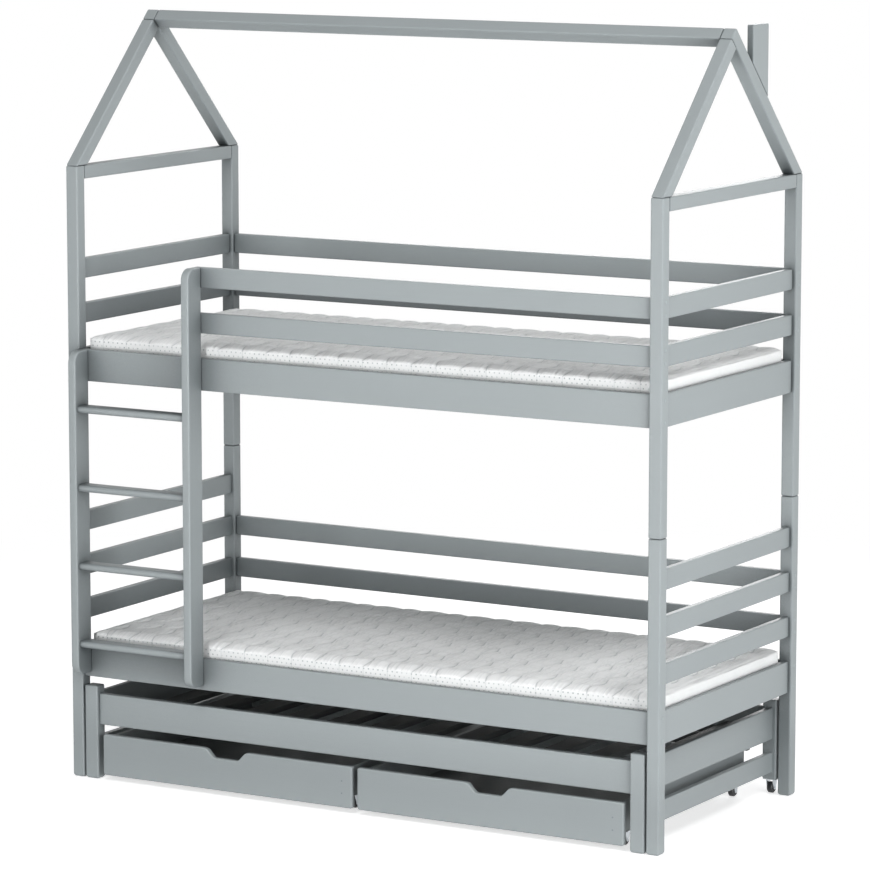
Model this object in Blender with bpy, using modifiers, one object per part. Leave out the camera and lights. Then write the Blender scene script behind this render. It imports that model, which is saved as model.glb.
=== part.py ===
"""House bed: two bunks, a ladder, a roof outline, a roll-out trundle and two roll-out drawers.

Units are metres. +X is the right side of the bed seen from the front, -Y is the front, +Z is up.
The pieces are laid out about the middle of the posts. They all hang on one empty, which moves them back by
half of the ladder's overhang, so that the origin is on the floor under the middle of the whole bed.
"""
import math

import bmesh
import bpy
from mathutils import Matrix, Vector

# Overall frame and stock
BED_LENGTH = 1.980
BED_WIDTH = 0.880
POST = 0.040
BOARD = 0.020
SEAT = 0.0003
TENON = 0.012
POST_EDGE = 0.004
BOARD_EDGE = 0.003
FOOT_ROUND = 0.008

# Heights of the lower bunk, from the floor up
FLOOR_GAP = 0.310
BEAM_HEIGHT = 0.095
RAIL_HEIGHT = 0.060
RAIL_PITCH = 0.1335
END_HORN = 0.090

# Heights of the upper bunk, from the joint of the posts up
UPPER_LEG = 0.3065
HEADROOM = 0.276

# Roof
ROOF_ANGLE = math.radians(45.0)
CHIMNEY_NEAR = 0.105
CHIMNEY_WIDTH = 0.100
CHIMNEY_THICK = 0.020
CHIMNEY_RISE = 0.004

# Ladder
STILE_THICK = 0.026
STILE_DEPTH = 0.070
STILE_ROUND = 0.025
STILE_RISE = 0.015
LADDER_CLEAR = 0.3747
RUNG_THICK = 0.021
RUNG_DEPTH = 0.050
RUNG_SET_BACK = 0.008
RUNG_RISE = 0.003
RUNG_PITCH = 0.2354

# Slatted bases and mattresses
LEDGER = 0.025
SLAT_THICK = 0.018
SLAT_WIDTH = 0.065
SLAT_LET_IN = 0.003
SLAT_END_MARGIN = 0.060
MATTRESS_THICK = 0.078
MATTRESS_SIDE_ROOM = 0.002
MATTRESS_LEFT_ROOM = 0.013
MATTRESS_RIGHT_ROOM = 0.005
MATTRESS_CROWN = 0.004
MATTRESS_DRAW_IN = 0.003
MATTRESS_CORNER = 0.016
MATTRESS_BORDER = 0.022
MATTRESS_PUFF = 0.014
MATTRESS_SINK = 0.010

# Trundle
TRUNDLE_ROOM = 0.006
TRUNDLE_HEIGHT = 0.285
TRUNDLE_LEG = 0.045
TRUNDLE_LEG_DEPTH = 0.040
TRUNDLE_BOARD_LOW = 0.166
TRUNDLE_BOARD_HEIGHT = 0.095
TRUNDLE_RAIL_LOW = 0.066
TRUNDLE_RAIL_HEIGHT = 0.060
TRUNDLE_LEDGER = 0.020

# Drawers
DRAWER_END_ROOM = 0.019
DRAWER_MIDDLE_ROOM = 0.017
DRAWER_FLOOR_ROOM = 0.0155
DRAWER_FRONT_HEIGHT = 0.1245
DRAWER_FRONT_THICK = 0.018
DRAWER_FRONT_EDGE = 0.004
DRAWER_DEPTH = 0.792
BOX_INSET = 0.016
BOX_WALL = 0.015
BOX_FLOOR = 0.006
BOX_HEIGHT = 0.090
BOX_EDGE = 0.0015
NOTCH_TOP_HALF = 0.077
NOTCH_LOW_HALF = 0.0375
NOTCH_DEPTH = 0.0275
NOTCH_ROUND = 0.015
DRAWER_CASTER_FRONT = 0.057
DRAWER_CASTER_REAR = 0.032
DRAWER_CASTER_SIDE = 0.021

# Casters
CASTER_HEIGHT = 0.045
WHEEL_RADIUS = 0.017
WHEEL_WIDTH = 0.018
WHEEL_SHOULDER = 0.003
WHEEL_RIM = 0.012
WHEEL_HUB = 0.006
WHEEL_WEB = 0.013
WHEEL_LIFT = 0.0003
AXLE_RADIUS = 0.0025
AXLE_HEAD = 0.001
AXLE_ROOM = 0.0003
CHEEK = 0.002
CHEEK_ROOM = 0.0008
CHEEK_LOW_RADIUS = 0.006
PLATE_THICK = 0.0025
PLATE_ACROSS = 0.040
PLATE_ALONG = 0.036
PLATE_LET_IN = 0.001
CHANNEL_ALONG = 0.030

# Counts and steps
RUNGS = 4
BUNK_SLATS = 13
TRUNDLE_SLATS = 12
EDGE_STEPS = 2
FOOT_STEPS = 3
ARC_STEPS = 5
WHEEL_STEPS = 16
AXLE_SIDES = 12
MATTRESS_COLUMNS = 16
MATTRESS_ROWS = 7

# Tolerances of the modelling steps
OVERRUN = 0.010
MERGE = 0.00001
FLAT_ANGLE = math.radians(1.0)
EDGE_ANGLE = math.radians(50.0)
SMOOTH_ANGLE = math.radians(40.0)

# Places worked out from the sizes above
END_X = BED_LENGTH / 2
SIDE_Y = BED_WIDTH / 2
POST_X = END_X - POST / 2
POST_Y = SIDE_Y - POST / 2
INNER_X = END_X - POST
INNER_Y = SIDE_Y - POST
BEAM_TOP = FLOOR_GAP + BEAM_HEIGHT
LOWER_TOP = BEAM_TOP + 3 * RAIL_PITCH + END_HORN
UPPER_BEAM_LOW = LOWER_TOP + UPPER_LEG
UPPER_BEAM_TOP = UPPER_BEAM_LOW + BEAM_HEIGHT
UPPER_RAIL_TOP = UPPER_BEAM_TOP + 2 * RAIL_PITCH
POST_TOP = UPPER_RAIL_TOP + HEADROOM
BEAM_FACE = POST_Y + BOARD / 2
STILE_BACK = -BEAM_FACE - SEAT
STILE_FRONT = STILE_BACK - STILE_DEPTH
LEFT_STILE_X = -INNER_X + SEAT
RIGHT_STILE_X = LEFT_STILE_X + STILE_THICK + LADDER_CLEAR
TRUNDLE_OUT_X = INNER_X - TRUNDLE_ROOM
TRUNDLE_IN_X = TRUNDLE_OUT_X - TRUNDLE_LEG
TRUNDLE_MID_X = TRUNDLE_OUT_X - TRUNDLE_LEG / 2
TRUNDLE_LEG_IN_Y = SIDE_Y - TRUNDLE_LEG_DEPTH
TRUNDLE_LEG_Y = SIDE_Y - TRUNDLE_LEG_DEPTH / 2
DRAWER_LENGTH = TRUNDLE_IN_X - DRAWER_END_ROOM - DRAWER_MIDDLE_ROOM / 2
DRAWER_MID_X = (DRAWER_MIDDLE_ROOM + DRAWER_LENGTH) / 2
BOX_OUT_X = DRAWER_LENGTH / 2 - BOX_INSET
BOX_FRONT_Y = -SIDE_Y + DRAWER_FRONT_THICK + SEAT
BOX_REAR_Y = -SIDE_Y + DRAWER_DEPTH
AXLE_Z = WHEEL_RADIUS + WHEEL_LIFT
MIDDLE_SHIFT = -(STILE_FRONT + SIDE_Y) / 2

# Colours as linear red, green and blue, then roughness and metallic
FINISHES = {
    "paint": ((0.310, 0.356, 0.366, 1.0), 0.45, 0.0),
    "slat": ((0.480, 0.420, 0.330, 1.0), 0.60, 0.0),
    "fabric": ((0.800, 0.810, 0.820, 1.0), 0.90, 0.0),
    "wheel": ((0.020, 0.021, 0.023, 1.0), 0.40, 0.0),
}

# Heights of the cage lines round a mattress, as shares of its thickness
BORDER_SHARES = (0.18, 0.82)

SIDES = (("left", -1), ("right", 1))
DEPTHS = (("front", -1), ("rear", 1))


def clear_scene():
    """Remove every object of the scene that the file opens with."""
    for item in list(bpy.data.objects):
        bpy.data.objects.remove(item, do_unlink=True)


def make_collection(name):
    collection = bpy.data.collections.new(name)
    bpy.context.scene.collection.children.link(collection)
    return collection


def make_material(name, finish):
    """A Principled material of its own for one piece."""
    colour, roughness, metallic = FINISHES[finish]
    material = bpy.data.materials.new(name + "_" + finish)
    material.use_nodes = True
    shader = material.node_tree.nodes["Principled BSDF"]
    shader.inputs["Base Color"].default_value = colour
    shader.inputs["Roughness"].default_value = roughness
    shader.inputs["Metallic"].default_value = metallic
    material.diffuse_color = colour
    return material


def place(name, data, finish, location=(0.0, 0.0, 0.0), turn=(0.0, 0.0, 0.0)):
    """Link a visible piece with its own material. No finish makes it a hidden tool."""
    piece = bpy.data.objects.new(name, data)
    piece.location = location
    piece.rotation_euler = turn
    if finish:
        data.materials.clear()
        data.materials.append(make_material(name, finish))
        PARTS.objects.link(piece)
    else:
        piece.hide_render = True
        piece.display_type = "WIRE"
        TOOLS.objects.link(piece)
    return piece


def carry(piece, holder):
    """Parent a piece to the empty that it travels with, keeping its place."""
    bpy.context.view_layer.update()
    piece.parent = holder
    piece.matrix_parent_inverse = holder.matrix_world.inverted()
    return piece


def make_empty(name, location):
    empty = bpy.data.objects.new(name, None)
    empty.location = location
    PARTS.objects.link(empty)
    return empty


def block_mesh(name, size):
    """A box of the given size, centred on its own origin."""
    mesh = bpy.data.meshes.new(name)
    shape = bmesh.new()
    bmesh.ops.create_cube(shape, size=1.0)
    bmesh.ops.scale(shape, vec=size, verts=shape.verts)
    shape.to_mesh(mesh)
    shape.free()
    return mesh


def ease(piece, width, steps=EDGE_STEPS):
    """Round every real edge of a piece."""
    bevel = piece.modifiers.new("eased edges", "BEVEL")
    bevel.width = width
    bevel.segments = steps
    bevel.limit_method = "ANGLE"
    bevel.angle_limit = EDGE_ANGLE
    return piece


def block(name, low, high, finish, edge=BOARD_EDGE):
    """A board between two opposite corners, with eased edges."""
    low = Vector(low)
    high = Vector(high)
    piece = place(name, block_mesh(name, high - low), finish, (low + high) / 2)
    if edge:
        ease(piece, edge)
    return piece


def leg(name, low, high, finish, edge=POST_EDGE):
    """A post or leg whose lower end is rounded over like a foot."""
    low = Vector(low)
    high = Vector(high)
    mesh = block_mesh(name, high - low)
    shape = bmesh.new()
    shape.from_mesh(mesh)
    base = min(vert.co.z for vert in shape.verts)
    foot = [item for item in shape.edges if max(vert.co.z for vert in item.verts) < base + MERGE]
    bmesh.ops.bevel(shape, geom=foot, offset=FOOT_ROUND, offset_type="OFFSET", segments=FOOT_STEPS,
                    profile=0.5, affect="EDGES")
    shape.to_mesh(mesh)
    shape.free()
    piece = place(name, mesh, finish, (low + high) / 2)
    return ease(piece, edge)


def combine(base, tool, operation="UNION"):
    """Join a tool to a piece, or cut it away."""
    step = base.modifiers.new(tool.name, "BOOLEAN")
    step.operation = operation
    step.object = tool
    step.solver = "EXACT"
    return base


def evaluated_mesh(name, source):
    """The finished mesh of an object, with the loose caps of a curve closed."""
    bpy.context.view_layer.update()
    graph = bpy.context.evaluated_depsgraph_get()
    mesh = bpy.data.meshes.new_from_object(source.evaluated_get(graph), depsgraph=graph)
    mesh.name = name
    shape = bmesh.new()
    shape.from_mesh(mesh)
    bmesh.ops.remove_doubles(shape, verts=shape.verts, dist=MERGE)
    shape.to_mesh(mesh)
    shape.free()
    return mesh


def rounded(corners):
    """Points of an outline whose corners, given as (across, up, radius), are filleted."""
    points = []
    count = len(corners)
    for index, (across, up, radius) in enumerate(corners):
        here = Vector((across, up))
        if not radius:
            points.append(here)
            continue
        before = (Vector(corners[index - 1][:2]) - here).normalized()
        after = (Vector(corners[(index + 1) % count][:2]) - here).normalized()
        half = before.angle(after) / 2
        centre = here + (before + after).normalized() * radius / math.sin(half)
        start = here + before * radius / math.tan(half) - centre
        end = here + after * radius / math.tan(half) - centre
        first = math.atan2(start.y, start.x)
        sweep = (math.atan2(end.y, end.x) - first + math.pi) % (2 * math.pi) - math.pi
        for step in range(ARC_STEPS + 1):
            angle = first + sweep * step / ARC_STEPS
            points.append(centre + Vector((math.cos(angle), math.sin(angle))) * radius)
    return points


def outline(name, points, thickness, finish, location, turn, edge=BOARD_EDGE):
    """A flat board sawn to an outline, as a filled curve with a thickness."""
    curve = bpy.data.curves.new(name, "CURVE")
    curve.dimensions = "2D"
    curve.fill_mode = "BOTH"
    curve.extrude = thickness / 2
    spline = curve.splines.new("POLY")
    spline.points.add(len(points) - 1)
    for knot, point in zip(spline.points, points):
        knot.co = (point[0], point[1], 0.0, 1.0)
    spline.use_cyclic_u = True
    piece = place(name, curve, finish, location, turn)
    weld = piece.modifiers.new("closed caps", "WELD")
    weld.merge_threshold = MERGE
    flat = piece.modifiers.new("flat faces", "DECIMATE")
    flat.decimate_type = "DISSOLVE"
    flat.angle_limit = FLAT_ANGLE
    if edge:
        ease(piece, edge)
    return piece


SEEN_FROM_END = (math.pi / 2, 0.0, math.pi / 2)
SEEN_FROM_FRONT = (math.pi / 2, 0.0, 0.0)


def lower_end_frame(side, sign):
    """The glued lower end: two posts, a broad beam and three rails let into the posts."""
    name = "lower_end_frame_" + side
    middle = sign * POST_X
    low_x = middle - POST / 2
    high_x = middle + POST / 2
    frame = leg(name, (low_x, -SIDE_Y, 0.0), (high_x, -INNER_Y, LOWER_TOP), "paint")
    rear = leg(name + "_rear_post", (low_x, INNER_Y, 0.0), (high_x, SIDE_Y, LOWER_TOP), None)
    combine(frame, rear)
    boards = [(FLOOR_GAP, BEAM_TOP)]
    for index in range(1, 4):
        top = BEAM_TOP + index * RAIL_PITCH
        boards.append((top - RAIL_HEIGHT, top))
    reach = INNER_Y + TENON
    for index, (low, high) in enumerate(boards):
        board = block(name + "_board_" + str(index), (middle - BOARD / 2, -reach, low),
                      (middle + BOARD / 2, reach, high), None)
        combine(frame, board)
    return frame


def upper_end(side, sign):
    """Upper posts, the broad beam, two rails and the tie under the rafters of one end."""
    middle = sign * POST_X
    for depth, way in DEPTHS:
        centre = way * POST_Y
        block("upper_post_" + depth + "_" + side,
              (middle - POST / 2, centre - POST / 2, LOWER_TOP + SEAT),
              (middle + POST / 2, centre + POST / 2, POST_TOP), "paint", POST_EDGE)
    reach = INNER_Y - SEAT
    boards = [("upper_end_beam_" + side, UPPER_BEAM_LOW, UPPER_BEAM_TOP)]
    for index, level in enumerate(("low", "high")):
        top = UPPER_BEAM_TOP + (index + 1) * RAIL_PITCH
        boards.append(("upper_end_rail_" + level + "_" + side, top - RAIL_HEIGHT, top))
    for name, low, high in boards:
        block(name, (middle - BOARD / 2, -reach, low), (middle + BOARD / 2, reach, high), "paint")
    block("roof_tie_" + side, (middle - POST / 2, -reach, POST_TOP - POST),
          (middle + POST / 2, reach, POST_TOP), "paint", POST_EDGE)


def meet(first, second):
    """Where two lines, each given as (height at the middle of the bed, slope), cross."""
    across = (second[0] - first[0]) / (first[1] - second[1])
    return Vector((across, first[0] + first[1] * across))


def roof_lines():
    """The outer and inner faces of the front and rear rafters, seen from the end."""
    slope = math.tan(ROOF_ANGLE)
    apex = POST_TOP + SEAT + SIDE_Y * slope
    drop = POST / math.cos(ROOF_ANGLE)
    front_outer = (apex, slope)
    front_inner = (apex - drop, slope)
    rear_outer = (apex, -slope)
    rear_inner = (apex - drop, -slope)
    return front_outer, front_inner, rear_outer, rear_inner


def roof():
    """Four rafters, the ridge bar on its corner and the chimney board."""
    front_outer, front_inner, rear_outer, rear_inner = roof_lines()
    foot = (POST_TOP + SEAT, 0.0)
    gap = SEAT / math.cos(ROOF_ANGLE)
    under_rear = (rear_inner[0] - gap, rear_inner[1])
    rear_points = [meet(rear_outer, foot), meet(rear_outer, front_outer), meet(rear_inner, front_outer),
                   meet(rear_inner, foot)]
    front_points = [meet(front_outer, foot), meet(front_inner, foot), meet(front_inner, under_rear),
                    meet(front_outer, under_rear)]
    for side, sign in SIDES:
        middle = (sign * POST_X, 0.0, 0.0)
        outline("rafter_front_" + side, front_points, POST, "paint", middle, SEEN_FROM_END, POST_EDGE)
        outline("rafter_rear_" + side, rear_points, POST, "paint", middle, SEEN_FROM_END, POST_EDGE)
    ridge_points = [meet(front_outer, rear_outer), meet(front_outer, rear_inner),
                    meet(front_inner, rear_inner), meet(front_inner, rear_outer)]
    outline("roof_ridge", ridge_points, 2 * (INNER_X - SEAT), "paint", (0.0, 0.0, 0.0), SEEN_FROM_END,
            POST_EDGE)
    over_rear = (rear_outer[0] + gap, rear_outer[1])
    far = CHIMNEY_NEAR + CHIMNEY_WIDTH
    top = rear_outer[0] + CHIMNEY_RISE
    chimney_points = [
        (CHIMNEY_NEAR, over_rear[0] + over_rear[1] * CHIMNEY_NEAR),
        (far, over_rear[0] + over_rear[1] * far),
        (far, top),
        (CHIMNEY_NEAR, top),
    ]
    outline("chimney_board", chimney_points, CHIMNEY_THICK, "paint",
            (END_X - CHIMNEY_THICK / 2, 0.0, 0.0), SEEN_FROM_END)


def long_boards():
    """Front and rear beams of both bunks, the rear rails and the front guard rails."""
    reach = INNER_X - SEAT
    for depth, way in DEPTHS:
        near = way * POST_Y - BOARD / 2
        far = way * POST_Y + BOARD / 2
        block("lower_beam_" + depth, (-reach, near, FLOOR_GAP), (reach, far, BEAM_TOP), "paint")
        block("upper_beam_" + depth, (-reach, near, UPPER_BEAM_LOW), (reach, far, UPPER_BEAM_TOP), "paint")
    for index, level in enumerate(("low", "high")):
        lower_top = BEAM_TOP + (index + 1) * RAIL_PITCH
        upper_top = UPPER_BEAM_TOP + (index + 1) * RAIL_PITCH
        near = POST_Y - BOARD / 2
        far = POST_Y + BOARD / 2
        block("lower_rear_rail_" + level, (-reach, near, lower_top - RAIL_HEIGHT), (reach, far, lower_top),
              "paint")
        block("upper_rear_rail_" + level, (-reach, near, upper_top - RAIL_HEIGHT), (reach, far, upper_top),
              "paint")
        block("guard_rail_" + level, (RIGHT_STILE_X, -far, upper_top - RAIL_HEIGHT), (reach, -near, upper_top),
              "paint")


def ladder():
    """Two flat stiles with rounded front corners and four rungs between them."""
    low = FLOOR_GAP + STILE_RISE
    for side, left, top in (("left", LEFT_STILE_X, UPPER_BEAM_TOP), ("right", RIGHT_STILE_X, UPPER_RAIL_TOP)):
        corners = [(STILE_BACK, low, 0.0), (STILE_BACK, top, 0.0), (STILE_FRONT, top, STILE_ROUND),
                   (STILE_FRONT, low, STILE_ROUND)]
        outline("ladder_stile_" + side, rounded(corners), STILE_THICK, "paint",
                (left + STILE_THICK / 2, 0.0, 0.0), SEEN_FROM_END)
    near_x = LEFT_STILE_X + STILE_THICK + SEAT
    far_x = RIGHT_STILE_X - SEAT
    front = STILE_FRONT + RUNG_SET_BACK
    for index in range(RUNGS):
        base = BEAM_TOP + RUNG_RISE + index * RUNG_PITCH
        block("ladder_rung_" + str(index + 1), (near_x, front, base),
              (far_x, front + RUNG_DEPTH, base + RUNG_THICK), "paint")


def slat_base(name, reach_x, reach_y, low, ledger, count, finish):
    """Two ledgers with a row of slats let into their upper edges."""
    base = block(name, (-reach_x, -reach_y, low), (reach_x, -reach_y + ledger, low + ledger), finish, None)
    rear = block(name + "_rear_ledger", (-reach_x, reach_y - ledger, low), (reach_x, reach_y, low + ledger),
                 None, None)
    combine(base, rear)
    first = -reach_x + SLAT_END_MARGIN
    pitch = (2 * (reach_x - SLAT_END_MARGIN) - SLAT_WIDTH) / (count - 1)
    bed = low + ledger - SLAT_LET_IN
    slats = block(name + "_slats", (first, -reach_y, bed), (first + SLAT_WIDTH, reach_y, bed + SLAT_THICK),
                  None, None)
    row = slats.modifiers.new("row of slats", "ARRAY")
    row.count = count
    row.use_relative_offset = False
    row.use_constant_offset = True
    row.constant_offset_displace = (pitch, 0.0, 0.0)
    combine(base, slats)
    return base


def slat_top(low, ledger):
    return low + ledger - SLAT_LET_IN + SLAT_THICK


def cage_lines(low, high, inset, count):
    """Cut places across a mattress: one near each edge and even ones between."""
    span = high - low - 2 * inset
    return [low + inset + span * index / (count - 1) for index in range(count)]


def mattress(name, base):
    """A quilted mattress: crowned, drawn in at its sides, its top sewn in a diamond pattern.

    The cage's inner points stand up and sink in turn. The soft form keeps a quarter of that.
    """
    low_x = -POST_X + BOARD / 2 + MATTRESS_LEFT_ROOM
    high_x = POST_X - BOARD / 2 - MATTRESS_RIGHT_ROOM
    half_x = (high_x - low_x) / 2
    half_y = INNER_Y - MATTRESS_SIDE_ROOM
    mesh = block_mesh(name, (2 * half_x, 2 * half_y, MATTRESS_THICK))
    shape = bmesh.new()
    shape.from_mesh(mesh)
    columns = cage_lines(-half_x, half_x, MATTRESS_BORDER, MATTRESS_COLUMNS)
    rows = cage_lines(-half_y, half_y, MATTRESS_BORDER, MATTRESS_ROWS)
    levels = [MATTRESS_THICK * (share - 0.5) for share in BORDER_SHARES]
    cuts = [((place_x, 0.0, 0.0), (1.0, 0.0, 0.0)) for place_x in columns]
    cuts += [((0.0, place_y, 0.0), (0.0, 1.0, 0.0)) for place_y in rows]
    cuts += [((0.0, 0.0, place_z), (0.0, 0.0, 1.0)) for place_z in levels]
    for point, normal in cuts:
        bmesh.ops.bisect_plane(shape, geom=shape.verts[:] + shape.edges[:] + shape.faces[:],
                               plane_co=point, plane_no=normal, dist=MERGE)
    floor = [face for face in shape.faces if face.normal.z < -0.5]
    bmesh.ops.dissolve_faces(shape, faces=floor)
    for vert in shape.verts:
        across = vert.co.x / half_x
        along = vert.co.y / half_y
        height = vert.co.z / MATTRESS_THICK + 0.5
        waist = 4 * height * (1 - height)
        corner = max(0.0, math.hypot(vert.co.x, vert.co.y) - math.hypot(half_x, half_y) + MATTRESS_CORNER)
        if height > 1 - MERGE:
            vert.co.z += MATTRESS_CROWN * (1 - across ** 2) * (1 - along ** 2) - MATTRESS_CROWN
            column = nearest(columns, vert.co.x)
            row = nearest(rows, vert.co.y)
            inside = 0 < column < MATTRESS_COLUMNS - 1 and 0 < row < MATTRESS_ROWS - 1
            if inside and abs(across) < 1 - MERGE and abs(along) < 1 - MERGE:
                sewn = (column + row) % 2
                vert.co.z += -MATTRESS_SINK if sewn else MATTRESS_PUFF
        if abs(across) > 1 - MERGE:
            vert.co.x -= math.copysign(MATTRESS_DRAW_IN * waist + corner, across)
        if abs(along) > 1 - MERGE:
            vert.co.y -= math.copysign(MATTRESS_DRAW_IN * waist + corner, along)
    shape.to_mesh(mesh)
    shape.free()
    piece = place(name, mesh, "fabric", ((low_x + high_x) / 2, 0.0, base + SEAT + MATTRESS_THICK / 2))
    soft = piece.modifiers.new("soft form", "SUBSURF")
    soft.levels = 1
    soft.render_levels = 1
    mesh.shade_smooth()
    return piece


def nearest(lines, value):
    """The number of the cage line that lies closest to a value."""
    return min(range(len(lines)), key=lambda index: abs(lines[index] - value))


def bunk_inside(level, beam_low):
    """The slatted base and the mattress of one bunk."""
    reach_x = INNER_X - SEAT
    reach_y = POST_Y - BOARD / 2 - SEAT
    slat_base(level + "_slat_base", reach_x, reach_y, beam_low, LEDGER, BUNK_SLATS, "slat")
    mattress(level + "_mattress", slat_top(beam_low, LEDGER))


def wheel_mesh():
    """A caster wheel turned about its own Z axis, with a dished side and a bore."""
    half = WHEEL_WIDTH / 2
    web = WHEEL_WEB / 2
    bore = AXLE_RADIUS + AXLE_ROOM
    lower = [(WHEEL_RADIUS, half - WHEEL_SHOULDER), (WHEEL_RADIUS, WHEEL_SHOULDER - half),
             (WHEEL_RADIUS - WHEEL_SHOULDER, -half), (WHEEL_RIM, -half), (WHEEL_HUB, -web), (bore, -web)]
    upper = [(bore, web), (WHEEL_HUB, web), (WHEEL_RIM, half), (WHEEL_RADIUS - WHEEL_SHOULDER, half)]
    profile = lower + upper
    mesh = bpy.data.meshes.new("wheel_profile")
    shape = bmesh.new()
    verts = [shape.verts.new((radius, 0.0, height)) for radius, height in profile]
    for index, vert in enumerate(verts):
        shape.edges.new((vert, verts[(index + 1) % len(verts)]))
    shape.to_mesh(mesh)
    shape.free()
    turned = place("wheel_turning", mesh, None)
    spin = turned.modifiers.new("turned", "SCREW")
    spin.axis = "Z"
    spin.angle = 2 * math.pi
    spin.steps = WHEEL_STEPS
    spin.render_steps = WHEEL_STEPS
    spin.use_merge_vertices = True
    spin.merge_threshold = MERGE
    finished = evaluated_mesh("caster_wheel", turned)
    finished.shade_smooth()
    finished.set_sharp_from_angle(angle=SMOOTH_ANGLE)
    bpy.data.objects.remove(turned, do_unlink=True)
    return finished


def bracket_mesh():
    """A caster bracket: plate, two tapering cheeks and the axle. Its origin is on the axle's middle."""
    inner = WHEEL_WIDTH / 2 + CHEEK_ROOM
    outer = inner + CHEEK
    top = CASTER_HEIGHT - AXLE_Z
    seat = top - PLATE_THICK
    shoulder = CHANNEL_ALONG / 2
    corners = [(-shoulder, seat + PLATE_THICK / 2, 0.0), (-CHEEK_LOW_RADIUS, -CHEEK_LOW_RADIUS, CHEEK_LOW_RADIUS),
               (CHEEK_LOW_RADIUS, -CHEEK_LOW_RADIUS, CHEEK_LOW_RADIUS), (shoulder, seat + PLATE_THICK / 2, 0.0)]
    cheeks = outline("bracket_cheeks", rounded(corners), 2 * outer, None, (0.0, 0.0, 0.0), SEEN_FROM_END, None)
    solid = place("bracket_solid", evaluated_mesh("bracket_solid", cheeks), None, turn=SEEN_FROM_END)
    slot = block("bracket_slot", (-inner, -CASTER_HEIGHT, -CASTER_HEIGHT), (inner, CASTER_HEIGHT, seat),
                 None, None)
    combine(solid, slot, "DIFFERENCE")
    plate = block("bracket_plate", (-PLATE_ACROSS / 2, -PLATE_ALONG / 2, seat),
                  (PLATE_ACROSS / 2, PLATE_ALONG / 2, top + PLATE_LET_IN), None, None)
    combine(solid, plate)
    axle_mesh = bpy.data.meshes.new("bracket_axle")
    shape = bmesh.new()
    bmesh.ops.create_cone(shape, cap_ends=True, segments=AXLE_SIDES, radius1=AXLE_RADIUS, radius2=AXLE_RADIUS,
                          depth=2 * (outer + AXLE_HEAD), matrix=Matrix.Rotation(math.pi / 2, 4, "Y"))
    shape.to_mesh(axle_mesh)
    shape.free()
    axle = place("bracket_axle", axle_mesh, None)
    combine(solid, axle)
    finished = evaluated_mesh("caster_bracket", solid)
    finished.transform(solid.matrix_world)
    for tool in (cheeks, solid, slot, plate, axle):
        bpy.data.objects.remove(tool, do_unlink=True)
    return finished


def caster(carrier, wheel_name, where, holder):
    """Join a bracket to the piece that carries it and hang its wheel on the axle."""
    bracket = place(wheel_name + "_bracket", BRACKET, None, where)
    combine(carrier, bracket)
    wheel = place(wheel_name, WHEEL.copy(), "wheel", where, (0.0, math.pi / 2, 0.0))
    carry(wheel, holder)


def trundle():
    """Two end frames, front and rear boards, a slatted base and the two rear casters."""
    holder = make_empty("trundle_slide", (0.0, -SIDE_Y, 0.0))
    board_top = TRUNDLE_BOARD_LOW + TRUNDLE_BOARD_HEIGHT
    rail_top = TRUNDLE_RAIL_LOW + TRUNDLE_RAIL_HEIGHT
    reach = TRUNDLE_LEG_IN_Y + TENON
    for side, sign in SIDES:
        name = "trundle_end_frame_" + side
        middle = sign * TRUNDLE_MID_X
        low_x = middle - TRUNDLE_LEG / 2
        high_x = middle + TRUNDLE_LEG / 2
        frame = leg(name, (low_x, -SIDE_Y, 0.0), (high_x, -TRUNDLE_LEG_IN_Y, TRUNDLE_HEIGHT), "paint")
        rear = block(name + "_rear_leg", (low_x, TRUNDLE_LEG_IN_Y, CASTER_HEIGHT),
                     (high_x, SIDE_Y, TRUNDLE_HEIGHT), None, POST_EDGE)
        combine(frame, rear)
        for part, low, high in (("board", TRUNDLE_BOARD_LOW, board_top), ("rail", TRUNDLE_RAIL_LOW, rail_top)):
            tool = block(name + "_" + part, (middle - BOARD / 2, -reach, low), (middle + BOARD / 2, reach, high),
                         None)
            combine(frame, tool)
        caster(frame, "trundle_wheel_" + side, (middle, TRUNDLE_LEG_Y, AXLE_Z), holder)
        carry(frame, holder)
    inside = TRUNDLE_IN_X - SEAT
    for depth, way in DEPTHS:
        middle_y = way * TRUNDLE_LEG_Y
        board = block("trundle_" + depth + "_board", (-inside, middle_y - BOARD / 2, TRUNDLE_BOARD_LOW),
                      (inside, middle_y + BOARD / 2, board_top), "paint")
        carry(board, holder)
    reach_y = TRUNDLE_LEG_Y - BOARD / 2 - SEAT
    base = slat_base("trundle_slat_base", inside, reach_y, TRUNDLE_BOARD_LOW, TRUNDLE_LEDGER, TRUNDLE_SLATS,
                     "slat")
    carry(base, holder)


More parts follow.
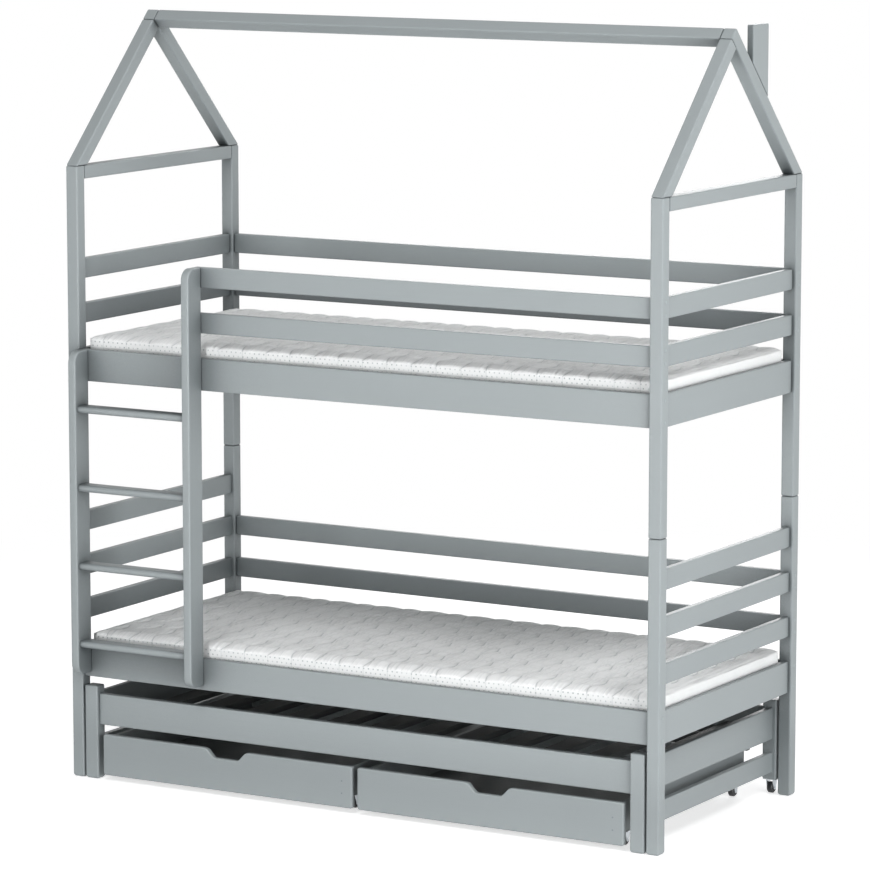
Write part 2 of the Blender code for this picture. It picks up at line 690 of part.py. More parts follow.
def drawer(side, sign):
    """A notched front board and an open box on four casters."""
    middle = sign * DRAWER_MID_X
    holder = make_empty("drawer_" + side + "_slide", (middle, -SIDE_Y, 0.0))
    half = DRAWER_LENGTH / 2
    low = DRAWER_FLOOR_ROOM
    top = low + DRAWER_FRONT_HEIGHT
    dip = top - NOTCH_DEPTH
    corners = [(-half, low, 0.0), (half, low, 0.0), (half, top, 0.0), (NOTCH_TOP_HALF, top, NOTCH_ROUND),
               (NOTCH_LOW_HALF, dip, NOTCH_ROUND), (-NOTCH_LOW_HALF, dip, NOTCH_ROUND),
               (-NOTCH_TOP_HALF, top, NOTCH_ROUND), (-half, top, 0.0)]
    front = outline("drawer_front_" + side, rounded(corners), DRAWER_FRONT_THICK, "paint",
                    (middle, -SIDE_Y + DRAWER_FRONT_THICK / 2, 0.0), SEEN_FROM_FRONT, DRAWER_FRONT_EDGE)
    carry(front, holder)
    box_top = CASTER_HEIGHT + BOX_HEIGHT
    box = block("drawer_box_" + side, (middle - BOX_OUT_X, BOX_FRONT_Y, CASTER_HEIGHT),
                (middle + BOX_OUT_X, BOX_REAR_Y, box_top), "paint", BOX_EDGE)
    room = block("drawer_" + side + "_room",
                 (middle - BOX_OUT_X + BOX_WALL, BOX_FRONT_Y - OVERRUN, CASTER_HEIGHT + BOX_FLOOR),
                 (middle + BOX_OUT_X - BOX_WALL, BOX_REAR_Y - BOX_WALL, box_top + OVERRUN), None, None)
    combine(box, room, "DIFFERENCE")
    for depth, place_y in (("front", BOX_FRONT_Y + DRAWER_CASTER_FRONT), ("rear", BOX_REAR_Y - DRAWER_CASTER_REAR)):
        for hand, way in SIDES:
            where = (middle + way * (BOX_OUT_X - DRAWER_CASTER_SIDE), place_y, AXLE_Z)
            caster(box, "drawer_" + side + "_wheel_" + depth + "_" + hand, where, holder)
    carry(box, holder)


def hang_on_middle():
    """Hang every loose piece and tool on the empty at the middle of the whole bed."""
    middle = make_empty("bed_middle", (0.0, MIDDLE_SHIFT, 0.0))
    for collection in (PARTS, TOOLS):
        for item in list(collection.objects):
            if item.parent is None and item is not middle:
                item.parent = middle


clear_scene()
PARTS = make_collection("house_bed")
TOOLS = make_collection("cutters")
WHEEL = wheel_mesh()
BRACKET = bracket_mesh()

for side_name, side_sign in SIDES:
    lower_end_frame(side_name, side_sign)
    upper_end(side_name, side_sign)
roof()
long_boards()
ladder()
bunk_inside("lower", FLOOR_GAP)
bunk_inside("upper", UPPER_BEAM_LOW)
trundle()
for side_name, side_sign in SIDES:
    drawer(side_name, side_sign)
hang_on_middle()
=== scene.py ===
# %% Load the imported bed
import math

import bmesh
import bpy
from mathutils import Matrix, Vector


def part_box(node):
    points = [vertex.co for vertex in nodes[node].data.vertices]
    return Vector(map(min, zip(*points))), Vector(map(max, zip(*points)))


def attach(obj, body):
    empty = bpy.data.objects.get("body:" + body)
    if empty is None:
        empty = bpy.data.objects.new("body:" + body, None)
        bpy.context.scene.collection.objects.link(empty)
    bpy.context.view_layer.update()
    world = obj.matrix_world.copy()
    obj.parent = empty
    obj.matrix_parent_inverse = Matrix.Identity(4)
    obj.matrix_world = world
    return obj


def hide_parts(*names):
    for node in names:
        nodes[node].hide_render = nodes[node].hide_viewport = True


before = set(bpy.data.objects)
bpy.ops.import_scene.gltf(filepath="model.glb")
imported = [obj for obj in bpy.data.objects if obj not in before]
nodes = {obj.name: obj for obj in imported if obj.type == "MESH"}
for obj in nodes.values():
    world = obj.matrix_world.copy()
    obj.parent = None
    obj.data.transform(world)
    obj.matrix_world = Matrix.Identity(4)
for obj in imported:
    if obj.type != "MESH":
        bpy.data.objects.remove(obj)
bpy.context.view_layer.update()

# %% [markdown]
# ## What this file does
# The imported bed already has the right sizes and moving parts. This file gives it looks: lacquered
# pine, stained pine slats, two quilted foam mattresses, bolt caps, screws, steel casters, soft
# studio light and a camera. Nothing in the frame is moved. New pieces ride on the frame's bodies,
# so that they follow its drawers and trundle.

# %% Shared helpers
MM = 0.001
MIX_SOCKETS = {"FLOAT": (2, 0), "VECTOR": (4, 1), "RGBA": (6, 2)}     # first input and output


def colour(code):
    """A colour written as sRGB hex, turned to the linear values that Blender's sockets expect."""
    channels = [int(code[i:i + 2], 16) / 255 for i in (1, 3, 5)]
    linear = [c / 12.92 if c <= 0.04045 else ((c + 0.055) / 1.055) ** 2.4 for c in channels]
    return (*linear, 1.0)


def add(tree, kind, inputs=(), **settings):
    """One node. A value in inputs is a number, a vector, or another node's output."""
    node = tree.nodes.new(kind)
    for name, value in settings.items():
        setattr(node, name, value)
    for socket, value in dict(inputs).items():
        if isinstance(value, bpy.types.NodeSocket):
            tree.links.new(value, node.inputs[socket])
        else:
            node.inputs[socket].default_value = value
    return node


def calc(tree, operation, *values):
    """The result of one step of arithmetic on one, two or three values."""
    return add(tree, "ShaderNodeMath", dict(enumerate(values)), operation=operation).outputs[0]


def vector_calc(tree, operation, *values):
    """The same for vectors. A length comes out of the node's second socket."""
    node = add(tree, "ShaderNodeVectorMath", dict(enumerate(values)), operation=operation)
    return node.outputs["Value" if operation == "LENGTH" else "Vector"]


def split(tree, vector):
    """The x, y and z of a vector."""
    return tuple(add(tree, "ShaderNodeSeparateXYZ", {0: vector}).outputs)


def object_place(tree):
    """The place of a point in its object."""
    return add(tree, "ShaderNodeTexCoord").outputs["Object"]


def span(tree, value, source=(0.0, 1.0), target=(0.0, 1.0), **settings):
    """A value carried over from one span to another, and held at its two ends."""
    return add(tree, "ShaderNodeMapRange", {
        "Value": value, "From Min": source[0], "From Max": source[1],
        "To Min": target[0], "To Max": target[1]}, **settings).outputs[0]


def noise(tree, place, scale, detail, roughness=0.5, distortion=0.0):
    """Soft random values from 0 to 1, in patches about one over scale across."""
    return add(tree, "ShaderNodeTexNoise", {
        "Vector": place, "Scale": scale, "Detail": detail, "Roughness": roughness,
        "Distortion": distortion}).outputs[0]


def blend(tree, share, first, second, kind="RGBA"):
    """A value, vector or colour that goes from first to second as share goes from 0 to 1."""
    entry, result = MIX_SOCKETS[kind]
    return add(tree, "ShaderNodeMix", {0: share, entry: first, entry + 1: second},
               data_type=kind).outputs[result]


def bump(tree, height, strength, distance, below=None, invert=False):
    """The way a surface faces where a height tilts it, on top of another bump if one is given."""
    inputs = {"Height": height, "Strength": strength, "Distance": distance}
    if below is not None:
        inputs["Normal"] = below
    return add(tree, "ShaderNodeBump", inputs, invert=invert).outputs[0]


def mix_shaders(tree, share, first, second):
    """A surface that goes from the first shader to the second as share goes from 0 to 1."""
    return add(tree, "ShaderNodeMixShader", {0: share, 1: first, 2: second}).outputs[0]


def new_material(name):
    """An empty material, its node tree and its output node."""
    material = bpy.data.materials.new(name)
    material.use_nodes = True
    material.node_tree.nodes.clear()
    output = add(material.node_tree, "ShaderNodeOutputMaterial")
    return material, material.node_tree, output


print("helpers ready; mid grey is", [round(c, 3) for c in colour("#808080")[:3]])

# %% [markdown]
# ## Camera
# The photograph was taken with a long lens, from the front right and a little above. The camera's
# place and its lens were worked out from corners of the frame whose real positions are known. A
# long lens keeps the posts almost parallel, which is why the camera stands almost thirteen metres
# away.

# %% Camera
CAMERA_PLACE = (6.447, -11.0031, 2.9918)
CAMERA_TURN = 0.5279
CAMERA_DIP = 0.1504
LENS = 181.46
SENSOR = 36.0
FARTHEST_SEEN = 100.0

camera_data = bpy.data.cameras.new("photo_camera")
camera_data.lens = LENS
camera_data.sensor_width = SENSOR
camera_data.clip_end = FARTHEST_SEEN
camera = bpy.data.objects.new("photo_camera", camera_data)
camera.location = CAMERA_PLACE
camera.rotation_euler = (math.pi / 2 - CAMERA_DIP, 0, CAMERA_TURN)
bpy.context.scene.collection.objects.link(camera)
bpy.context.scene.camera = camera
bpy.context.scene.view_settings.view_transform = "Standard"
print("camera at", CAMERA_PLACE, "with a lens of", LENS, "mm")

# %% [markdown]
# ## Light
# In the photograph the right ends are the brightest, the fronts come next and fade to the left, and
# the insides of the bunks are dark. So the light comes from large soft lamps in front and on the
# right, some low and some high. A weak one on the left and a broad one behind give the other sides
# shape too. All are hidden from the camera.

# %% Lamps
# Each lamp has its place, the point it is aimed at, its width in metres and its watts.
LAMPS = {
    "right_low": ((5.4, -2.25, 1.2), (0.0, 0.0, 1.0), 3.0, 215),
    "right_high": ((4.0, 0.0, 6.0), (0.0, 0.0, 1.2), 3.0, 125),
    "front_high": ((0.0, -4.2, 6.5), (0.0, 0.0, 1.2), 3.0, 150),
    "front_low": ((0.0, -5.0, 0.7), (0.0, 0.0, 1.0), 1.2, 86),
    "front_left": ((-5.0, -5.0, 2.6), (0.0, 0.0, 1.0), 3.0, 45),
    "back": ((-1.5, 5.5, 3.0), (0.0, 0.0, 1.0), 4.0, 160),
}

for name, (place, aim, size, watts) in LAMPS.items():
    lamp_data = bpy.data.lights.new(name, "AREA")
    lamp_data.shape = "DISK"
    lamp_data.size = size
    lamp_data.energy = watts
    lamp = bpy.data.objects.new(name, lamp_data)
    lamp.location = place
    lamp.rotation_euler = (Vector(aim) - Vector(place)).to_track_quat("-Z", "Y").to_euler()
    lamp.visible_camera = False
    bpy.context.scene.collection.objects.link(lamp)
    print(name, watts, "W,", size, "m across")

# %% [markdown]
# The background is plain white. A sky bright enough to look white would wash out the shading, so
# the sky lights the bed weakly, and only rays that go straight to the camera, or by gloss or glass,
# see it as white.

# %% Sky
SKY = 0.05


def seen_as_white(tree):
    """1 for rays that go straight to the camera, or by gloss or glass, and 0 for the others."""
    path = add(tree, "ShaderNodeLightPath").outputs
    seen = calc(tree, "MAXIMUM", path["Is Camera Ray"], path["Is Glossy Ray"])
    return calc(tree, "MAXIMUM", seen, path["Is Transmission Ray"])


world = bpy.data.worlds.new("studio")
world.use_nodes = True
bpy.context.scene.world = world
tree = world.node_tree
tree.nodes.clear()
strength = span(tree, seen_as_white(tree), target=(SKY, 1.0))
sky = add(tree, "ShaderNodeBackground", {"Color": (1, 1, 1, 1), "Strength": strength})
add(tree, "ShaderNodeOutputWorld", {"Surface": sky.outputs[0]})
print("sky strength", SKY, "and white for the camera")

# %% [markdown]
# ## Floor
# A pale matt floor, as a photographer's paper sweep. It takes the bed's soft shadow. For rays to
# the camera a little light of its own lifts it to the white of the background, and it fades fully
# to white further out.

# %% Floor
FLOOR_RADIUS = 9.0
FLOOR_SIDES = 96
FADE = (1.6, 4.5)
FLOOR_LIFT = 0.62
PAPER = "#e6e6e6"

bm = bmesh.new()
bmesh.ops.create_circle(bm, cap_ends=True, radius=FLOOR_RADIUS, segments=FLOOR_SIDES)
floor_mesh = bpy.data.meshes.new("floor")
bm.to_mesh(floor_mesh)
bm.free()
floor = bpy.data.objects.new("floor", floor_mesh)
bpy.context.scene.collection.objects.link(floor)

paper, tree, output = new_material("white_paper_sweep")
seen = seen_as_white(tree)
reach = vector_calc(tree, "LENGTH", object_place(tree))
fade = span(tree, reach, FADE, interpolation_type="SMOOTHSTEP")
matt = add(tree, "ShaderNodeBsdfDiffuse", {"Color": colour(PAPER)})
glow = add(tree, "ShaderNodeEmission", {"Strength": calc(tree, "MULTIPLY", seen, FLOOR_LIFT)})
near = add(tree, "ShaderNodeAddShader", {0: matt.outputs[0], 1: glow.outputs[0]})
white = add(tree, "ShaderNodeEmission", {"Strength": 1.0})
surface = mix_shaders(tree, calc(tree, "MULTIPLY", fade, seen), near.outputs[0], white.outputs[0])
tree.links.new(surface, output.inputs["Surface"])
floor_mesh.materials.append(paper)
print("floor radius", FLOOR_RADIUS, "m")

# %% [markdown]
# ## Lacquered pine
# The frame is solid pine, sanded, filled and sprayed with a grey water-based satin lacquer. The
# lacquer hides the colour of the wood, but the harder winter wood stays a little proud, so a faint
# long grain shows where the light grazes. It could be one flat grey, but then every board would
# look like plastic. Here a noise stretched along each board's length gives that grain, a finer one
# gives the sprayed skin, and a slow one lets the grey drift a little from board to board. Shade is
# painted into the grey where boards meet and under rails: an occlusion node tells how enclosed a
# place is, within a quarter of a metre, and the grey darkens there. The floor would count as a
# neighbour too, so the painted shade fades out towards it.

# %% Lacquered pine
LACQUER = "#92999b"
LACQUER_PALE = "#9aa1a3"
GRAIN_LENGTH = 260 * MM
GRAIN_WIDTH = 5 * MM
GRAIN_SHARE = 0.45
GRAIN_RELIEF = 0.5 * MM
DRIFT_LENGTH = 400 * MM
SPRAY_GRIT = 1.5 * MM      # the real skin is near 0.4 mm, too fine to show
SPRAY_RELIEF = 0.2 * MM
LACQUER_GLOSS = (0.40, 0.54)
# painted shade in nooks: how far the occlusion looks, its darkest grey, how sharply it darkens, its
# rays, and the height over which it fades in above the floor
SHADE_REACH = 250 * MM
PAINTED_SHADE_GREY = "#4c5254"
SHADE_POWER = 2.5
SHADE_RAYS = 6
SHADE_FLOOR_FADE = 350 * MM
ROOF_SLOPE = math.radians(45)
STRETCHES = {
    "x": (1 / GRAIN_LENGTH, 1 / GRAIN_WIDTH, 1 / GRAIN_WIDTH),
    "y": (1 / GRAIN_WIDTH, 1 / GRAIN_LENGTH, 1 / GRAIN_WIDTH),
    "z": (1 / GRAIN_WIDTH, 1 / GRAIN_WIDTH, 1 / GRAIN_LENGTH),
}


def painted_shade_amount(tree, fade):
    """How closely surfaces stand around a place, from 0 to 1, as the share of painted shade there. It
    may fade out near the floor.
    """
    occlusion = add(tree, "ShaderNodeAmbientOcclusion", {"Distance": SHADE_REACH},
                    samples=SHADE_RAYS)
    raised = calc(tree, "POWER", occlusion.outputs["AO"], SHADE_POWER)
    closed = calc(tree, "SUBTRACT", 1.0, raised)
    if not fade:
        return closed
    place = add(tree, "ShaderNodeNewGeometry").outputs["Position"]
    return calc(tree, "MULTIPLY", closed, span(tree, split(tree, place)[2], (0.0, fade)))


def lacquer(tree, place, stretch):
    """The lacquer's shader at a place, with its grain stretched along one direction."""
    stretched = vector_calc(tree, "MULTIPLY", place, stretch)
    grain = noise(tree, stretched, scale=1.0, detail=5.0, roughness=0.6, distortion=0.4)
    drift = noise(tree, place, scale=1 / DRIFT_LENGTH, detail=2.0)
    spray = noise(tree, place, scale=1 / SPRAY_GRIT, detail=1.0)
    both = blend(tree, GRAIN_SHARE, drift, grain, "FLOAT")
    tint = blend(tree, both, colour(LACQUER), colour(LACQUER_PALE))
    # painted shade: the grey darkens where other surfaces stand close around it
    shaded = blend(tree, painted_shade_amount(tree, SHADE_FLOOR_FADE), tint, colour(PAINTED_SHADE_GREY))
    skin = bump(tree, spray, strength=0.06, distance=SPRAY_RELIEF)
    relief = bump(tree, grain, strength=0.16, distance=GRAIN_RELIEF, below=skin)
    return add(tree, "ShaderNodeBsdfPrincipled", {
        "Base Color": shaded, "Roughness": span(tree, grain, target=LACQUER_GLOSS), "IOR": 1.47,
        "Normal": relief}).outputs[0]


def lacquered_pine(name, direction, turn=0.0):
    """Lacquered pine with grain along x, y or z, after a turn about x for a sloping board."""
    material, tree, output = new_material(name)
    place = object_place(tree)
    if turn:
        place = add(tree, "ShaderNodeVectorRotate", {"Vector": place, "Angle": turn},
                    rotation_type="X_AXIS").outputs[0]
    tree.links.new(lacquer(tree, place, STRETCHES[direction]), output.inputs["Surface"])
    return material


pine_x = lacquered_pine("lacquered_pine_along", "x")
pine_y = lacquered_pine("lacquered_pine_across", "y")
pine_z = lacquered_pine("lacquered_pine_upright", "z")
pine_rising = lacquered_pine("lacquered_pine_rising", "y", -ROOF_SLOPE)
pine_falling = lacquered_pine("lacquered_pine_falling", "y", ROOF_SLOPE)
print("lacquer", LACQUER, "grain", GRAIN_LENGTH, "by", GRAIN_WIDTH, "m")

# %% [markdown]
# Each board gets the material whose grain runs along it. Some nodes are several boards in one, such
# as an end frame with upright posts and level boards. There the grain's direction is chosen by
# place: the posts are the outer strips of the node. The trundle's end frames and the drawers' boxes
# also carry their steel caster brackets, which are below a known height, so a mask by height gives
# those the look of zinc-plated steel.

# %% Zinc-plated steel
ZINC = "#c3c8cc"
ZINC_GLOSS = (0.28, 0.46)
MOTTLE_SIZE = 4 * MM


def zinc(tree, place):
    """Pressed steel sheet with a bright zinc plating: fairly smooth, with a faint mottle."""
    mottle = noise(tree, place, scale=1 / MOTTLE_SIZE, detail=3.0)
    return add(tree, "ShaderNodeBsdfPrincipled", {
        "Base Color": colour(ZINC), "Metallic": 1.0,
        "Roughness": span(tree, mottle, target=ZINC_GLOSS)}).outputs[0]


zinc_steel, tree, output = new_material("zinc_plated_steel")
tree.links.new(zinc(tree, object_place(tree)), output.inputs["Surface"])
print("zinc", ZINC)

# %% Materials for nodes with boards in two directions
POST_INNER = 0.3995        # the posts' inner faces, from the plane halfway to the rear
CASTER_TOP = 0.0447

low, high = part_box("lower_end_frame_left")
MIDDLE_Y = (low.y + high.y) / 2


def off_middle(tree, y):
    """How far a place is from the plane halfway between front and rear."""
    return calc(tree, "ABSOLUTE", calc(tree, "SUBTRACT", y, MIDDLE_Y))


def end_frame_pine(name, brackets):
    """Upright grain in the outer strips, level grain between, and steel for the rear bracket."""
    material, tree, output = new_material(name)
    place = object_place(tree)
    _, y, z = split(tree, place)
    on_post = calc(tree, "GREATER_THAN", off_middle(tree, y), POST_INNER)
    shader = lacquer(tree, place, blend(tree, on_post, STRETCHES["y"], STRETCHES["z"], "VECTOR"))
    if brackets:
        rear = calc(tree, "GREATER_THAN", y, MIDDLE_Y)
        low_down = calc(tree, "SUBTRACT", 1.0, calc(tree, "GREATER_THAN", z, CASTER_TOP))
        mask = calc(tree, "MULTIPLY", low_down, rear)
        shader = mix_shaders(tree, mask, shader, zinc(tree, place))
    tree.links.new(shader, output.inputs["Surface"])
    return material


bed_end_pine = end_frame_pine("lacquered_pine_bed_end", False)
trundle_end_pine = end_frame_pine("lacquered_pine_trundle_end", True)
print("middle of the end frames at y =", round(MIDDLE_Y, 4))

# %% [markdown]
# ## Drawer boxes
# Behind each drawer front is an open box: lacquered sides and a thin floor of grey-faced hardboard.
# The floor, its edge and the steel caster brackets under it are told apart by height.

# %% Drawer boxes
FLOOR_TOP = 0.0515
HARDBOARD = "#7f8586"
HARDBOARD_PALE = "#888e8f"
SPECKLE_SIZE = 2 * MM

drawer_box_look, tree, output = new_material("drawer_box_pine_and_hardboard")
place = object_place(tree)
height = split(tree, place)[2]
speckle = noise(tree, place, scale=1 / SPECKLE_SIZE, detail=3.0)
face = blend(tree, speckle, colour(HARDBOARD), colour(HARDBOARD_PALE))
board = add(tree, "ShaderNodeBsdfPrincipled", {"Base Color": face, "Roughness": 0.55}).outputs[0]
walls = lacquer(tree, place, STRETCHES["y"])
box = mix_shaders(tree, calc(tree, "GREATER_THAN", height, FLOOR_TOP), board, walls)
above_casters = calc(tree, "GREATER_THAN", height, CASTER_TOP)
whole = mix_shaders(tree, above_casters, zinc(tree, place), box)
tree.links.new(whole, output.inputs["Surface"])
print("hardboard up to", FLOOR_TOP, "m, steel below", CASTER_TOP, "m")

# %% [markdown]
# ## Stained pine slats
# The slats and their ledgers are sawn and planed pine with one thin coat of the same grey, rubbed
# in as a stain, so the wood shows through: pale spring wood with narrow darker winter lines, and a
# few knots. The rings could be an exact solid texture of a log. A wave texture, bent by noise and
# stretched along the slat, is simpler and reads the same. The grain runs across the bed in the
# slats, and along it in the ledgers under their ends.

# %% Stained pine
SPRING_WOOD = "#8e9393"
WINTER_WOOD = "#757a79"
KNOT = "#535655"
# the grey of the painted shade where the slats are enclosed
SLAT_PAINTED_SHADE = "#4a4d4d"
RING_SPACING = 6 * MM      # real rings are 2 to 4 mm apart, too fine to show
WAVE_PERIOD = 0.314        # the spacing of the wave texture's bands at a scale of one
FIBRE_WIDTH = 2 * MM
FIBRE_SHARE = 0.35
FIBRE_RELIEF = 0.3 * MM
WINTER_SPAN = (0.35, 0.95)
KNOT_SPACING = 300 * MM
KNOT_SPAN = (0.025, 0.045)
LEDGER_INNER = 0.3845      # the ledgers' inner faces, from the same plane as the posts'
ALONG_SLAT = (1.0, 0.06, 1.0)
ALONG_LEDGER = (0.06, 1.0, 1.0)

slat_pine, tree, output = new_material("stained_pine")
place = object_place(tree)
from_middle = off_middle(tree, split(tree, place)[1])
on_ledger = calc(tree, "GREATER_THAN", from_middle, LEDGER_INNER)
stretch = blend(tree, on_ledger, ALONG_SLAT, ALONG_LEDGER, "VECTOR")
log = vector_calc(tree, "MULTIPLY", place, stretch)
rings = add(tree, "ShaderNodeTexWave", {
    "Vector": log, "Scale": WAVE_PERIOD / RING_SPACING, "Distortion": 6.0, "Detail": 3.0,
    "Detail Scale": 0.35}, bands_direction="DIAGONAL")
fibre = noise(tree, log, scale=1 / FIBRE_WIDTH, detail=4.0)
both = blend(tree, FIBRE_SHARE, rings.outputs["Fac"], fibre, "FLOAT")
lines = span(tree, both, WINTER_SPAN)
wood = blend(tree, lines, colour(SPRING_WOOD), colour(WINTER_WOOD))
cells = add(tree, "ShaderNodeTexVoronoi", {"Vector": place, "Scale": 1 / KNOT_SPACING})
knot = span(tree, cells.outputs["Distance"], KNOT_SPAN, (1.0, 0.0))
knotted = blend(tree, knot, wood, colour(KNOT))
# painted shade: the slats darken where other surfaces stand close around them
shaded_slat_colour = blend(tree, painted_shade_amount(tree, 0.0), knotted, colour(SLAT_PAINTED_SHADE))
shader = add(tree, "ShaderNodeBsdfPrincipled", {
    "Base Color": shaded_slat_colour, "Roughness": 0.62, "IOR": 1.5,
    "Normal": bump(tree, both, strength=0.25, distance=FIBRE_RELIEF)})
tree.links.new(shader.outputs[0], output.inputs["Surface"])
print("stained pine", SPRING_WOOD, WINTER_WOOD)

# %% [markdown]
# ## Caster wheels
# The wheels are moulded black polypropylene: a dull black with a slight sheen, scuffed a little on
# the tread.

# %% Moulded black wheels
WHEEL_BLACK = "#17181a"
WHEEL_SCUFFED = "#2b2d30"
WHEEL_GLOSS = (0.34, 0.62)
SCUFF_SIZE = 3 * MM

wheel_plastic, tree, output = new_material("moulded_polypropylene")
scuff = noise(tree, object_place(tree), scale=1 / SCUFF_SIZE, detail=4.0)
shade = blend(tree, scuff, colour(WHEEL_BLACK), colour(WHEEL_SCUFFED))
shader = add(tree, "ShaderNodeBsdfPrincipled", {
    "Base Color": shade, "Roughness": span(tree, scuff, target=WHEEL_GLOSS), "IOR": 1.49})
tree.links.new(shader.outputs[0], output.inputs["Surface"])
print("wheel plastic ready")

# %% Every board gets its material
GRAIN_OF = (
    ("lower_end_frame", bed_end_pine), ("trundle_end_frame", trundle_end_pine),
    ("drawer_box", drawer_box_look), ("upper_post", pine_z), ("ladder_stile", pine_z),
    ("chimney_board", pine_z), ("rafter_front", pine_rising), ("rafter_rear", pine_falling),
    ("upper_end", pine_y), ("roof_tie", pine_y), ("lower_slat_base", slat_pine),
    ("upper_slat_base", slat_pine), ("trundle_slat_base", slat_pine),
)

for name, node in nodes.items():
    look = pine_x
    for start, material in GRAIN_OF:
        if name.startswith(start):
            look = material
    if "_wheel_" in name:
        look = wheel_plastic
    for slot in node.material_slots:
        slot.material = look
print("materials on", len(nodes), "nodes")

# %% [markdown]
# ## Milled edges
# The ladder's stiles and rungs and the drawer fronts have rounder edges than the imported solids: the
# rungs are nearly half round in front, the stiles end in large rounds, and the finger notch runs in
# soft curves. On the real pieces a router cuts these edges after the boards are sawn. So each is
# built here again in its own place, as an outline with rounded corners drawn through its thickness,
# with a small round along both rims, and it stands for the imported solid.

# %% Boards with routed edges
CORNER_STEPS = 7
RIM_STEPS = 4
FACE_RING = 1.4            # a ring this many rims in keeps the face flat in smooth shading


def rounded(corners):
    """The points of an outline, from corners given as two coordinates and a radius, in metres."""
    points = []
    for k, (u, v, radius) in enumerate(corners):
        here = Vector((u, v))
        back = (Vector(corners[k - 1][:2]) - here).normalized()
        ahead = (Vector(corners[(k + 1) % len(corners)][:2]) - here).normalized()
        half = back.angle(ahead) / 2
        middle = here + (back + ahead).normalized() * radius / math.sin(half)
        start = here + back * radius / math.tan(half) - middle
        sweep = start.angle_signed(here + ahead * radius / math.tan(half) - middle)
        for step in range(CORNER_STEPS + 1):
            angle = -sweep * step / CORNER_STEPS
            points.append(middle + Matrix.Rotation(angle, 2) @ start)
    return points


def bar(low, high, front, back):
    """The corners of a bar's outline across x, with one radius in front and another behind."""
    return [(low.y, low.z, front), (high.y, low.z, back), (high.y, high.z, back),
            (low.y, high.z, front)]


def milled(name, corners, axis, start, stop, rim, material, body, node=None):
    """A board with a rounded outline across its axis and rounded rims, perhaps for one node."""
    points = rounded(corners)
    count = len(points)
    inward = []
    for k, point in enumerate(points):
        along = (points[(k + 1) % count] - points[k - 1]).normalized()
        inward.append(Vector((-along.y, along.x)))
    quarter = [math.pi / 2 * k / RIM_STEPS for k in range(RIM_STEPS + 1)]
    profile = [(0.0, rim * FACE_RING)]
    profile += [(rim * (1 - math.cos(a)), rim * (1 - math.sin(a))) for a in quarter]
    levels = [(start + depth, inset) for depth, inset in profile]
    levels += [(stop - depth, inset) for depth, inset in reversed(profile)]
    bm = bmesh.new()
    rings = []
    for level, inset in levels:
        flat = [point + normal * inset for point, normal in zip(points, inward)]
        rings.append([bm.verts.new((level, p.x, p.y) if axis == "x" else (p.x, level, p.y))
                      for p in flat])
    for near_ring, far_ring in zip(rings, rings[1:]):
        for k in range(count):
            n = (k + 1) % count
            bm.faces.new((near_ring[k], near_ring[n], far_ring[n], far_ring[k]))
    bm.faces.new(rings[0])
    bm.faces.new(rings[-1])
    bmesh.ops.recalc_face_normals(bm, faces=bm.faces)
    mesh = bpy.data.meshes.new(name)
    bm.to_mesh(mesh)
    bm.free()
    mesh.shade_smooth()
    mesh.materials.append(material)
    piece = bpy.data.objects.new(name, mesh)
    bpy.context.scene.collection.objects.link(piece)
    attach(piece, body)
    if node:
        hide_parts(node)
    print(name, len(mesh.vertices), "vertices")


# %% Ladder with routed edges
STILE_ROUND = 34 * MM
STILE_BACK_ROUND = 6 * MM
STILE_RIM = 4 * MM
RUNGS = 4
RUNG_FRONT_ROUND = 10 * MM
RUNG_BACK_ROUND = 7 * MM
RUNG_RIM = 0.5 * MM

for side in ("left", "right"):
    node = "ladder_stile_" + side
    low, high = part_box(node)
    milled("milled_stile_" + side, bar(low, high, STILE_ROUND, STILE_BACK_ROUND), "x",
           low.x, high.x, STILE_RIM, pine_z, "bed", node)
for number in range(1, RUNGS + 1):
    node = "ladder_rung_" + str(number)
    low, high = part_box(node)
    milled("milled_rung_" + str(number), bar(low, high, RUNG_FRONT_ROUND, RUNG_BACK_ROUND), "x",
           low.x, high.x, RUNG_RIM, pine_x, "bed", node)

# %% Drawer fronts with a routed notch
NOTCH_TOP_HALF = 68 * MM
NOTCH_LOW_HALF = 43 * MM
NOTCH_DEPTH = 27.5 * MM
NOTCH_TOP_ROUND = 28 * MM
NOTCH_LOW_ROUND = 18 * MM
FRONT_CORNER = 7 * MM
FRONT_RIM = 4 * MM

for side in ("left", "right"):
    node = "drawer_front_" + side
    low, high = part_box(node)
    middle = (low.x + high.x) / 2
    dip = high.z - NOTCH_DEPTH
    milled("milled_drawer_front_" + side, [
        (low.x, low.z, FRONT_CORNER), (high.x, low.z, FRONT_CORNER),
        (high.x, high.z, FRONT_CORNER), (middle + NOTCH_TOP_HALF, high.z, NOTCH_TOP_ROUND),
        (middle + NOTCH_LOW_HALF, dip, NOTCH_LOW_ROUND),
        (middle - NOTCH_LOW_HALF, dip, NOTCH_LOW_ROUND),
        (middle - NOTCH_TOP_HALF, high.z, NOTCH_TOP_ROUND), (low.x, high.z, FRONT_CORNER),
    ], "y", low.y, high.y, FRONT_RIM, pine_x, "drawer_" + side, node)

# %% [markdown]
# A slatted base that carries a guest needs a bearer under its slats as well as the two ledgers. In
# the photograph no daylight comes through under the trundle's rear board on the right, which such a
# bearer explains. It runs a little above the drawers, because the trundle rolls out over them.

# %% Bearer under the trundle's slats
BEARER_THICK = 22 * MM
BEARER_LOW = 0.144
BEARER_TOP = 0.1825
BEARER_FROM_REAR = 80 * MM
BEARER_ROUND = 3 * MM
BEARER_RIM = 1 * MM
BEARER_END_ROOM = 5 * MM

low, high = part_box("trundle_slat_base")
rear = high.y - BEARER_FROM_REAR
section = bar(Vector((0, rear - BEARER_THICK, BEARER_LOW)), Vector((0, rear, BEARER_TOP)),
              BEARER_ROUND, BEARER_ROUND)
milled("trundle_bearer", section, "x", low.x + BEARER_END_ROOM, high.x - BEARER_END_ROOM,
       BEARER_RIM, slat_pine, "trundle")

